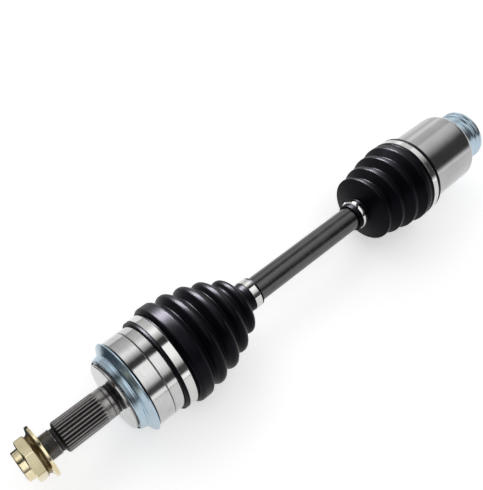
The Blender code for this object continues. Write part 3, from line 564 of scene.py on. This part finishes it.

# Dark oiled steel, grey on the crests and the land and black in the roots; the black of the neck
# and the grey under the dust ring and on the bell's groove and edge are painted shade.
oiled_steel_and_painted_shade, tree, shader = finish("oiled_steel_and_painted_shade", 1.0, 0.3)
across = add(tree, "VectorMath", {0: place_in(tree), 1: (0.0, 1.0, 1.0)}, operation="MULTIPLY")
height = add(tree, "VectorMath", {0: across}, operation="LENGTH").node.outputs["Value"]
along = add(tree, "SeparateXYZ", {0: place_in(tree)})
on_thread = sum_of(tree, "LESS_THAN", along, (OUTER + THREAD_RUNOUT) * MM)
crest = spread(tree, on_thread, 0.0, 1.0, HUB_SPLINE * MM, THREAD_RADIUS * MM)
near_crest = spread(tree, sum_of(tree, "SUBTRACT", height, crest), -0.0011, -0.0001, 0.0, 1.0)
crest_tone = sum_of(tree, "MULTIPLY", near_crest, spread(tree, clouds(tree, 300.0), 0.3, 0.6, 0.7, 1.0))
tree.links.new(shades(tree, crest_tone, [(0.0, (0.035, 0.034, 0.034)), (1.0, (0.31, 0.30, 0.295))]),
               shader.inputs["Base Color"])
tree.links.new(spread(tree, crest_tone, 0.0, 1.0, 0.45, 0.24), shader.inputs["Roughness"])


def oiled_and_shaded(x, radius):
    """True on the oiled stub; painted shade under the ring's edge and in the bell's groove and back
    edge.
    """
    stub = x < BACK - 0.2
    shade_under_ring = (x > BACK + 1.2) & (x < BACK + 3.8) & (radius > 31.0)
    groove = (x < BELL_GROOVE[1]) & (radius > BELL - 1.23) & (radius < BELL - 0.1)
    return stub | shade_under_ring | groove


# Paints shade on the bell under its dust ring and along its groove and edge.
paint(bell, oiled_steel_and_painted_shade, oiled_and_shaded)

# ---------------------------------------------------------------------------------------------
# Dust ring of the bell: pressed from thin sheet steel, zinc plated blue and pushed onto the
# bell's shoulder, where its rim runs close to the wheel bearing's seal.

RING_RIM = 45.18
RING_SHEET = 1.4
ring_outline = eased([
    (-35.7, SHOULDER + 0.3, 0.2),
    (-35.7, SHOULDER + 1.0, 0.2),
    (-35.1, SHOULDER + 1.6, 0.6),
    (-30.6, SHOULDER + 2.9, 0.8),
    (-28.6, SHOULDER + 2.3, 0.8),
    (-24.3, RING_RIM, 0.5),
    (-22.9, RING_RIM, 0.3),
    (-22.9, RING_RIM - RING_SHEET, 0.2),
    (-24.0, RING_RIM - RING_SHEET, 0.3),
    (-27.7, SHOULDER + 2.05, 0.4),
    (-27.7, SHOULDER + 0.3, 0.2),
], closed=True)
blue_zinc = metal("blue_zinc", (0.36, 0.47, 0.56), (0.48, 0.59, 0.67), 0.25, 1200.0, 0.001)
bell_ring = turned("bell_ring", ring_outline, OUTER)
fit(bell_ring, blue_zinc, "bell", "blue_zinc", "outer_dust_ring")

# ---------------------------------------------------------------------------------------------
# Outer boot: blow-moulded black rubber bellows, clamped over the bell's mouth and on the bar. Its
# folds narrow towards the bar and let the joint bend.

BOOT_WALL = 2.2
OUTER_CUFF = (6.0, 19.2)
OUTER_CUFF_INSIDE = 42.33
OUTER_CUFF_OUTSIDE = 45.53
OUTER_FOLDS = (
    (27.5, 4.5, 5.5), (47.1, 2.8, 2.2), (65.0, -0.9, 2.2), (81.7, -6.9, 2.2), (99.2, -16.1, 2.0)
)
OUTER_VALLEYS = ((39.4, -2.8), (56.6, -6.7), (75.7, -10.7), (93.1, -19.0))
OUTER_NECK = (110.5, 127.0)
OUTER_BANDS = (9.0, 17.3, 117.2, 124.6)
OUTER_ROUNDING = 5.0
NECK_INSIDE = 12.9
NECK_OUTSIDE = 14.9
BAND_SINK = 0.6
LIP = 0.55


def boot_outline(cuff, inside, outside, folds, valleys, neck, bands, rounding):
    """A bellows' outline from its cuff to its neck and back along its lining.

    The cuff has a lip on each side of its clamp and the neck a groove for its own. A fold is its
    place, its height above the cuff and half its flat top, and a valley its place and height. With
    a rounding the folds are round instead, with that radius.
    """
    lip = outside + LIP
    groove = NECK_OUTSIDE - BAND_SINK
    skin = [(cuff[0], lip, 0.5), (bands[0] - 0.5, lip, 0.3), (bands[0] - 0.3, outside, 0.1)]
    skin += [(bands[1] + 0.3, outside, 0.1), (bands[1] + 0.5, lip, 0.3)]
    skin += [(cuff[1] - 0.2, lip, 0.4), (cuff[1], outside, 0.3)]
    lining = [(cuff[0], inside, 0.3), (cuff[1], inside, 0.5)]
    for number, (place, rise, half) in enumerate(folds):
        if rounding:
            for turn in (-60, -20, 20, 60):
                across = math.copysign(half - 2.0, turn) + rounding * math.sin(math.radians(turn))
                drop = rounding * (1 - math.cos(math.radians(turn)))
                skin.append((place + across, outside + rise + 0.3 - drop, 1.5))
        else:
            skin += [(place - half, outside + rise, 0.9), (place + half, outside + rise, 0.9)]
        lining.append((place, outside + rise - BOOT_WALL, 1.5))
        if number < len(valleys):
            place, rise = valleys[number]
            skin.append((place, outside + rise, 1.0))
            lining.append((place, outside + rise - BOOT_WALL, 1.0))
    skin += [(neck[0], NECK_OUTSIDE, 1.2), (bands[2] - 0.3, NECK_OUTSIDE, 0.2)]
    skin += [(bands[2] - 0.3, groove, 0.1), (bands[3] + 0.3, groove, 0.1)]
    skin += [(bands[3] + 0.3, NECK_OUTSIDE, 0.3), (neck[1], NECK_OUTSIDE, 0.6)]
    lining += [(neck[0], NECK_INSIDE, 0.8), (neck[1], NECK_INSIDE, 0.3)]
    return skin + lining[::-1]


rubber, tree, shader = finish("boot_rubber", 0.0, 0.35)
bloom = clouds(tree, 45.0)
tree.links.new(shades(tree, bloom, [(0.3, (0.0015, 0.0015, 0.002)), (0.7, (0.004, 0.0035, 0.006))]),
               shader.inputs["Base Color"])
tree.links.new(spread(tree, clouds(tree, 120.0), 0.3, 0.7, 0.33, 0.37), shader.inputs["Roughness"])
skin_grain = clouds(tree, 1400.0, 2.0)
tree.links.new(add(tree, "Bump", {"Strength": 0.35, "Distance": 0.02 * MM, "Height": skin_grain}),
               shader.inputs["Normal"])
shader.inputs["Specular IOR Level"].default_value = 0.065
shader.inputs["Specular Tint"].default_value = (0.86, 0.80, 1.0, 1.0)
outer_corners = boot_outline(OUTER_CUFF, OUTER_CUFF_INSIDE, OUTER_CUFF_OUTSIDE, OUTER_FOLDS,
                             OUTER_VALLEYS, OUTER_NECK, OUTER_BANDS, OUTER_ROUNDING)
outer_skin = eased(outer_corners, closed=True)
outer_boot = turned("bell_boot", outer_skin, OUTER, sides=270, sharp=60)
outer_boot.data.materials.append(rubber)
strip_lit.objects.link(outer_boot)
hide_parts("outer_boot")
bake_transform(outer_boot)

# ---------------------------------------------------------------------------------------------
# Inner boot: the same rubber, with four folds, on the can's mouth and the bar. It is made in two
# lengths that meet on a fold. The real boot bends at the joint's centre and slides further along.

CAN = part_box("inner_housing")[1].y / MM
INNER_CUFF = (19.4, 32.5)
INNER_CUFF_INSIDE = CAN + 0.3
INNER_CUFF_OUTSIDE = INNER_CUFF_INSIDE + 4.1
INNER_FOLDS = ((40.0, 1.3, 2.5), (58.0, -1.0, 2.2), (75.4, -4.7, 2.2), (92.8, -8.0, 1.8))
INNER_VALLEYS = ((49.5, -6.5), (67.0, -10.0), (84.5, -13.5))
INNER_NECK = (100.0, 114.0)
INNER_BANDS = (23.9, 30.6, 102.6, 109.0)
BOOT_JOIN = -58.4  # from the joint's centre, on the second fold's flat top
INNER_BLEND = (-87.0, -33.0)


def cut_across(outline, x):
    """The two closed outlines that a cut at x leaves of a closed one that it crosses twice."""
    ahead = np.roll(outline, -1, axis=0)
    crossing = np.flatnonzero((outline[:, 0] - x) * (ahead[:, 0] - x) < 0)
    here, there = outline[crossing], ahead[crossing]
    share = ((x - here[:, 0]) / (there[:, 0] - here[:, 0]))[:, None]
    cuts = here * (1 - share) + there * share
    first, second = crossing
    middle = outline[first + 1 : second + 1]
    rest = np.concatenate([outline[second + 1 :], outline[: first + 1]])
    return np.concatenate([cuts[:1], middle, cuts[1:]]), np.concatenate([cuts[1:], rest, cuts[:1]])


inner_corners = boot_outline(INNER_CUFF, INNER_CUFF_INSIDE, INNER_CUFF_OUTSIDE, INNER_FOLDS,
                             INNER_VALLEYS, INNER_NECK, INNER_BANDS, 0.0)
to_neck = [(-x, radius, ease) for x, radius, ease in inner_corners]
bar_outline, can_outline = cut_across(eased(to_neck, closed=True), BOOT_JOIN)
bar_half = turned("can_boot_bar_half", bar_outline, INNER, sharp=60)
can_half = turned("can_boot_can_half", can_outline, INNER, sharp=60)
for half_boot in (bar_half, can_half):
    half_boot.data.materials.append(rubber)
    strip_lit.objects.link(half_boot)
    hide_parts("inner_boot")
start, middle, end = ((INNER + place) * MM for place in (INNER_BLEND[0], BOOT_JOIN, INNER_BLEND[1]))
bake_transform(bar_half)
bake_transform(can_half)

# ---------------------------------------------------------------------------------------------
# Clamps: bright steel bands round the boots' cuffs and necks. Each band's end laps over its
# start and hooks there, and a pinched ear pulls it tight.

BAND_SHEET = 0.8
EAR_TURN = -50.0
EAR_HALF = 4.6
EAR_RISE = 2.3
LAP_RISE = 0.45
LAP = (14.0, 70.0)
HOOKS = (30.0, 48.0)
HOOK_HALF = 1.3
HOOK_RISE = 0.5
SMALL_BULGE = 0.45


def clamp(name, centre, start, end, inside, sides, bulge):
    """A band turned about X whose radius rises over the ear, the lap and the two hooks.

    The ear is a plateau with steep smooth sides and a dip in its middle, by the distance round the
    band from it. The lap is a step up from one angle to another, on the outside only, and a hook
    is a small block on the middle of the lap. The bulge is how far the band's middle stands above
    its edges.
    """
    top = inside + BAND_SHEET
    low, high = sorted((start, end))
    mid = (low + high) / 2
    edge = [(low, inside, 0.1), (low, top, 0.25), (mid, top, 0), (high, top, 0.25)]
    edge = eased(edge + [(high, inside, 0.1)], closed=True)
    flat = stretch(low + 0.5, high - 0.5, top, 0.4)
    before = edge[:, 0] <= low + 0.5
    outline = np.concatenate([edge[before], flat, edge[edge[:, 0] >= high - 0.5]])
    angle = np.arange(sides) * (360.0 / sides)
    from_ear = (angle - EAR_TURN + 180.0) % 360.0 - 180.0
    along = np.radians(from_ear) * inside / EAR_HALF
    side = np.clip((1 - np.abs(along)) / 0.22, 0, 1)
    ear = EAR_RISE * side**2 * (3 - 2 * side) * (1 - 0.4 * np.exp(-((along / 0.38) ** 2)))
    lap = LAP_RISE * ramp(from_ear, LAP[0], LAP[0] + 2.0)
    lap = lap * (1 - ramp(from_ear, LAP[1], LAP[1] + 0.6))
    outer = outline[:, 1:] > inside + BAND_SHEET * 0.6
    from_middle = (outline[:, :1] - mid) / ((high - low) / 2)
    hooks = sum(np.abs(from_ear - place) * np.radians(inside) < HOOK_HALF for place in HOOKS)
    hooks = HOOK_RISE * hooks * (np.abs(from_middle) < 0.32)
    rise = lap + bulge * (1 - from_middle**2) + hooks
    return turned(name, outline, centre, outline[:, 1:] + ear + outer * rise, sides=sides)


band_steel = metal("band_steel", (0.56, 0.56, 0.55), (0.66, 0.66, 0.65), 0.09, 900.0, 0.001)
start, end = OUTER_BANDS[:2]
band = clamp("bell_clamp", OUTER, start, end, OUTER_CUFF_OUTSIDE + 0.3, 720, 0.0)
fit(band, band_steel, "bell", "band_steel", "outer_boot_clamp_large")
start, end = OUTER_BANDS[2:]
band = clamp("bell_boot_bar_clamp", OUTER, start, end, NECK_OUTSIDE - 0.3, 360, 0.0)
fit(band, band_steel, "bar", "band_steel", "outer_boot_clamp_small")
start, end = INNER_BANDS[:2]
band = clamp("can_clamp", INNER, -start, -end, INNER_CUFF_OUTSIDE + 0.3, 720, 0.0)
fit(band, band_steel, "can", "band_steel", "inner_boot_clamp_large")
start, end = INNER_BANDS[2:]
band = clamp("can_boot_bar_clamp", INNER, -start, -end, NECK_OUTSIDE - 0.3, 360, SMALL_BULGE)
fit(band, band_steel, "bar", "band_steel", "inner_boot_clamp_small")

# ---------------------------------------------------------------------------------------------
# Bar: one forged and turned steel shaft, phosphated dark, with a collar behind each joint's
# spline and a clip groove past it.

BAR = 12.6
BAR_SPLINE = 13.5
BAR_TEETH = 18
BAR_TOOTH = 1.0
COLLAR = 15.0
RACE_HALF = 11.3
SPIDER_HALF = 11.8
SHAFT_PAST = 4.5


def shaft_end(centre, half, away):
    """The outline from the axis at one end of the bar, over its groove, spline and collar."""
    tip = half + SHAFT_PAST
    corners = [(tip, 0, 0), (tip, 11.5, 0.3), (tip - 1.0, 12.5, 0.3), (tip - 2.3, 12.5, 0)]
    corners += [(tip - 2.3, 12.3, 0), (half, 12.3, 0), (half, BAR_SPLINE - 0.2, 0.1)]
    after = [(-half, COLLAR - 0.3, 0.1), (-half - 0.3, COLLAR, 0.2), (-half - 2.5, COLLAR, 0.6)]
    after += [(-half - 7.5, BAR, 2.5), (-half - 12.0, BAR, 0)]
    points = [eased(corners), stretch(half - 0.3, -half + 0.1, BAR_SPLINE, 2.0), eased(after)]
    outline = np.concatenate(points)
    return np.column_stack([centre + away * outline[:, 0], outline[:, 1]])


bar_end_outer = shaft_end(OUTER, RACE_HALF, -1)
bar_end_inner = shaft_end(INNER, SPIDER_HALF, 1)
plain = stretch(bar_end_outer[-1, 0] + 10, bar_end_inner[-1, 0] - 10, BAR, 20.0)
shaft_outline = np.concatenate([bar_end_outer, plain, bar_end_inner[::-1]])
shaft_angle = np.arange(BAR_TEETH * 14) * (2 * math.pi / (BAR_TEETH * 14))
toothed = np.abs(shaft_outline[:, 1:] - BAR_SPLINE) < 0.05
shaft_radius = shaft_outline[:, 1:] - toothed * (1 - ridges(shaft_angle, BAR_TEETH)) * BAR_TOOTH
bar_steel = metal("bar_steel", (0.085, 0.085, 0.085), (0.105, 0.105, 0.104), 0.25, 900.0, 0.001)
bar = turned("bar", shaft_outline, 0.0, shaft_radius, sides=len(shaft_angle))
fit(bar, bar_steel, "bar", "bar_steel", "shaft")

# ---------------------------------------------------------------------------------------------
# Can: a steel forging with three roller tracks inside and a splined socket in its neck. Its
# outside is turned and a little duller than the bell's.

CAN_MOUTH = -37.0
CAN_END = 50.0
CAN_FLOOR = 42.5
NECK = 24.5
SOCKET_END = 80.0
SOCKET_FLOOR = 48.0
SOCKET = 13.5
SOCKET_TEETH = 26
SOCKET_TOOTH = 1.1
CAN_FLARE = 32.5
CAN_BORE = 21.0
FLARE_END = 5.0
ROLLER_CIRCLE = 24.0
ROLLER_TRACK = 15.9
TRACK_TOP = 33.54

end_radius = CAN - 0.8
can_outside = np.concatenate([
    eased([(SOCKET_FLOOR, 0, 0), (SOCKET_FLOOR, SOCKET, 0.4), (SOCKET_FLOOR + 2.6, SOCKET, 0)]),
    stretch(SOCKET_FLOOR + 3.0, SOCKET_END - 2.4, SOCKET, 4.0),
    eased([
        (SOCKET_END - 2.0, SOCKET, 0),
        (SOCKET_END - 0.1, SOCKET + 2.0, 0.3),
        (SOCKET_END, NECK - 1.0, 0.4),
        (SOCKET_END - 1.0, NECK, 0.4),
        (CAN_END + 2.0, NECK, 1.2),
        (CAN_END, NECK + 2.2, 1.0),
        (CAN_END, end_radius - 4.2, 0.8),
        (CAN_END - 1.5, end_radius - 1.5, 1.0),
        (CAN_END - 4.8, end_radius, 1.5),
        (CAN_MOUTH, CAN, 0.5),
        (CAN_MOUTH, CAN_FLARE + 1.0, 0.0),
    ]),
])
flared = np.linspace(CAN_MOUTH + 0.4, FLARE_END, 24)
bore_x = np.concatenate([flared, np.linspace(FLARE_END + 2.0, CAN_FLOOR - 0.4, 10)])
bore = CAN_FLARE - (CAN_FLARE - CAN_BORE) * ramp(bore_x, CAN_MOUTH, FLARE_END)
can_floor = [(CAN_FLOOR, CAN_BORE - 0.4), (CAN_FLOOR, 0.0)]
can_inside = np.concatenate([np.column_stack([bore_x, bore]), can_floor])
can_angle = np.arange(SOCKET_TEETH * 12) * (2 * math.pi / (SOCKET_TEETH * 12))
x = can_outside[:, :1]
splined = ramp(x, SOCKET_FLOOR + 2.7, SOCKET_FLOOR + 3.1) * (x < SOCKET_END - 2.2)
splined = splined * (can_outside[:, 1:] < SOCKET + 0.1)
outside_radius = can_outside[:, 1:] + SOCKET_TOOTH * splined * ridges(can_angle, SOCKET_TEETH)
from_arm = (can_angle - math.pi / 2 + math.pi / 3) % (2 * math.pi / 3) - math.pi / 3
in_track = np.maximum(ROLLER_TRACK**2 - (ROLLER_CIRCLE * np.sin(from_arm)) ** 2, 0.0)
track = ROLLER_CIRCLE * np.cos(from_arm) + np.sqrt(in_track)
track = np.minimum(track, TRACK_TOP / np.cos(from_arm))
inside_radius = np.where(in_track > 0, np.maximum(can_inside[:, 1:], track), can_inside[:, 1:])
inside_radius[-1] = 0.0
can_outline = np.concatenate([can_outside, can_inside])
can_radius = np.concatenate([outside_radius, inside_radius])
forged_steel = metal("forged_steel", (0.38, 0.38, 0.39), (0.44, 0.44, 0.44), 0.14, 1500.0, 0.001,
                     patches=35.0)
can = turned("can", can_outline, INNER, can_radius, sides=len(can_angle))
fit(can, forged_steel, "can", "turned_steel", "inner_housing")

# ---------------------------------------------------------------------------------------------
# Dust ring of the can: a stepped ring pressed from sheet, zinc plated like the bell's, on the
# neck where the gearbox's seal runs.

NECK_RING = 57.0
NECK_RIM = 28.95
neck_ring_outline = eased([
    (NECK_RING, NECK + 0.3, 0.2),
    (NECK_RING, NECK_RIM - 2.2, 0.4),
    (NECK_RING + 1.0, NECK_RIM - 1.4, 0.4),
    (NECK_RING + 7.0, NECK_RIM - 1.2, 0.5),
    (NECK_RING + 8.5, NECK_RIM - 2.2, 0.6),
    (NECK_RING + 12.5, NECK_RIM - 2.0, 0.8),
    (NECK_RING + 14.0, NECK_RIM - 0.8, 0.6),
    (NECK_RING + 17.5, NECK_RIM - 0.8, 0.5),
    (NECK_RING + 18.5, NECK_RIM, 0.4),
    (NECK_RING + 21.5, NECK_RIM, 0.4),
    (NECK_RING + 21.5, NECK_RIM - 1.3, 0.3),
    (NECK_RING + 15.0, NECK_RIM - 2.3, 0.6),
    (NECK_RING + 12.0, NECK + 0.3, 0.3),
], closed=True)
neck_ring = turned("neck_ring", neck_ring_outline, INNER)
fit(neck_ring, blue_zinc, "can", "blue_zinc", "inner_dust_ring")

# ---------------------------------------------------------------------------------------------
# Inside the joints: the balls, cage and race of the outer joint and the spider, rollers and
# needles of the inner one. They are hardened and ground bearing steel, and keep their own meshes.

INSIDE = ("ball_", "inner_race", "race_clip", "spider", "roller_", "needles_", "trunnion_ring_")
bearing_steel = metal("bearing_steel", (0.50, 0.49, 0.47), (0.66, 0.65, 0.62), 0.16, 2400.0, 0.002)
for name, node in frame["nodes"].items():
    if name.startswith(INSIDE):
        node.data.materials.clear()
        node.data.materials.append(bearing_steel)
